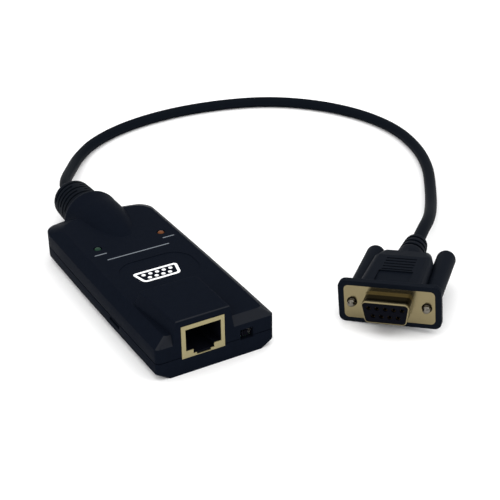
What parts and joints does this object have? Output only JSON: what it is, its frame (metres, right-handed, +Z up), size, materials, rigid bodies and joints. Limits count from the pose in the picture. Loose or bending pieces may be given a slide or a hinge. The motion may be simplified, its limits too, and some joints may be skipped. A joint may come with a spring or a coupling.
{
  "type": "serial console adapter",
  "caption": "Low black housing with a network jack and slide switch in front, two lamps on top and a short booted cord to a serial connector with thumbscrews.",
  "frame": {"origin": "centre of the underside of the housing and its boot, at the floor", "axes": "+Y from the jack to the boot, +X to the side with the slide switch, +Z up"},
  "size_m": [0.1793, 0.2152, 0.0199],
  "materials": {
    "housing_plastic": "fine satin moulding",
    "hood_vinyl": "satin vinyl moulding",
    "cord_vinyl": "satin vinyl",
    "jack_metal": "warm plated sheet",
    "flange_metal": "yellow passivated sheet",
    "screw_steel": "plated",
    "tinned_steel": "tinned",
    "contact_gold": "gold flash",
    "black_nylon": "moulded",
    "cream_nylon": "moulded",
    "clear_mould": "moulded",
    "board_green": "solder mask",
    "chip_epoxy": "moulded",
    "can_aluminium": "satin",
    "wire_vinyl": "smooth",
    "lamp_green": "clear tinted",
    "lamp_orange": "clear tinted"
  },
  "bodies": {
    "adapter": {"top_shell": "housing_plastic", "bottom_shell": "housing_plastic", "circuit_board": "board_green", "rj45_shield": "jack_metal", "rj45_housing": "black_nylon", "rj45_contacts": "contact_gold", "power_led": "lamp_green", "link_led": "lamp_orange", "led_legs": "tinned_steel", "slide_switch_case": "tinned_steel", "cable_boot": "cord_vinyl", "cable_tail": "cord_vinyl", "cable": "cord_vinyl", "cable_end": "cord_vinyl", "cable_header": "cream_nylon", "header_plug": "cream_nylon", "inner_wires": "wire_vinyl", "main_chip": "chip_epoxy", "transceiver_chip": "chip_epoxy", "crystal": "tinned_steel", "capacitors": "can_aluminium", "connector_hood": "hood_vinyl", "dsub_front_shell": "flange_metal", "dsub_rear_shell": "flange_metal", "dsub_insulator": "black_nylon", "dsub_contacts": "contact_gold", "inner_mould": "clear_mould"},
    "switch_slider": {"slide_switch_knob": "black_nylon"},
    "left_screw": {"thumbscrew_left": "screw_steel", "thumbscrew_left_knob": "hood_vinyl"},
    "right_screw": {"thumbscrew_right": "screw_steel", "thumbscrew_right_knob": "hood_vinyl"}
  },
  "joints": [
    {"name": "switch_slide", "type": "slide", "parent": "adapter", "child": "switch_slider", "axis": [1, 0, 0], "range_m": [0, 0.0015]},
    {"name": "left_screw_turn", "type": "hinge", "parent": "adapter", "child": "left_screw", "pos_m": [0.05038, -0.06084, 0.00787], "axis": [0.7513, 0.66, 0], "continuous": true},
    {"name": "right_screw_turn", "type": "hinge", "parent": "adapter", "child": "right_screw", "pos_m": [0.06682, -0.07956, 0.00987], "axis": [0.7513, 0.66, 0], "continuous": true}
  ]
}
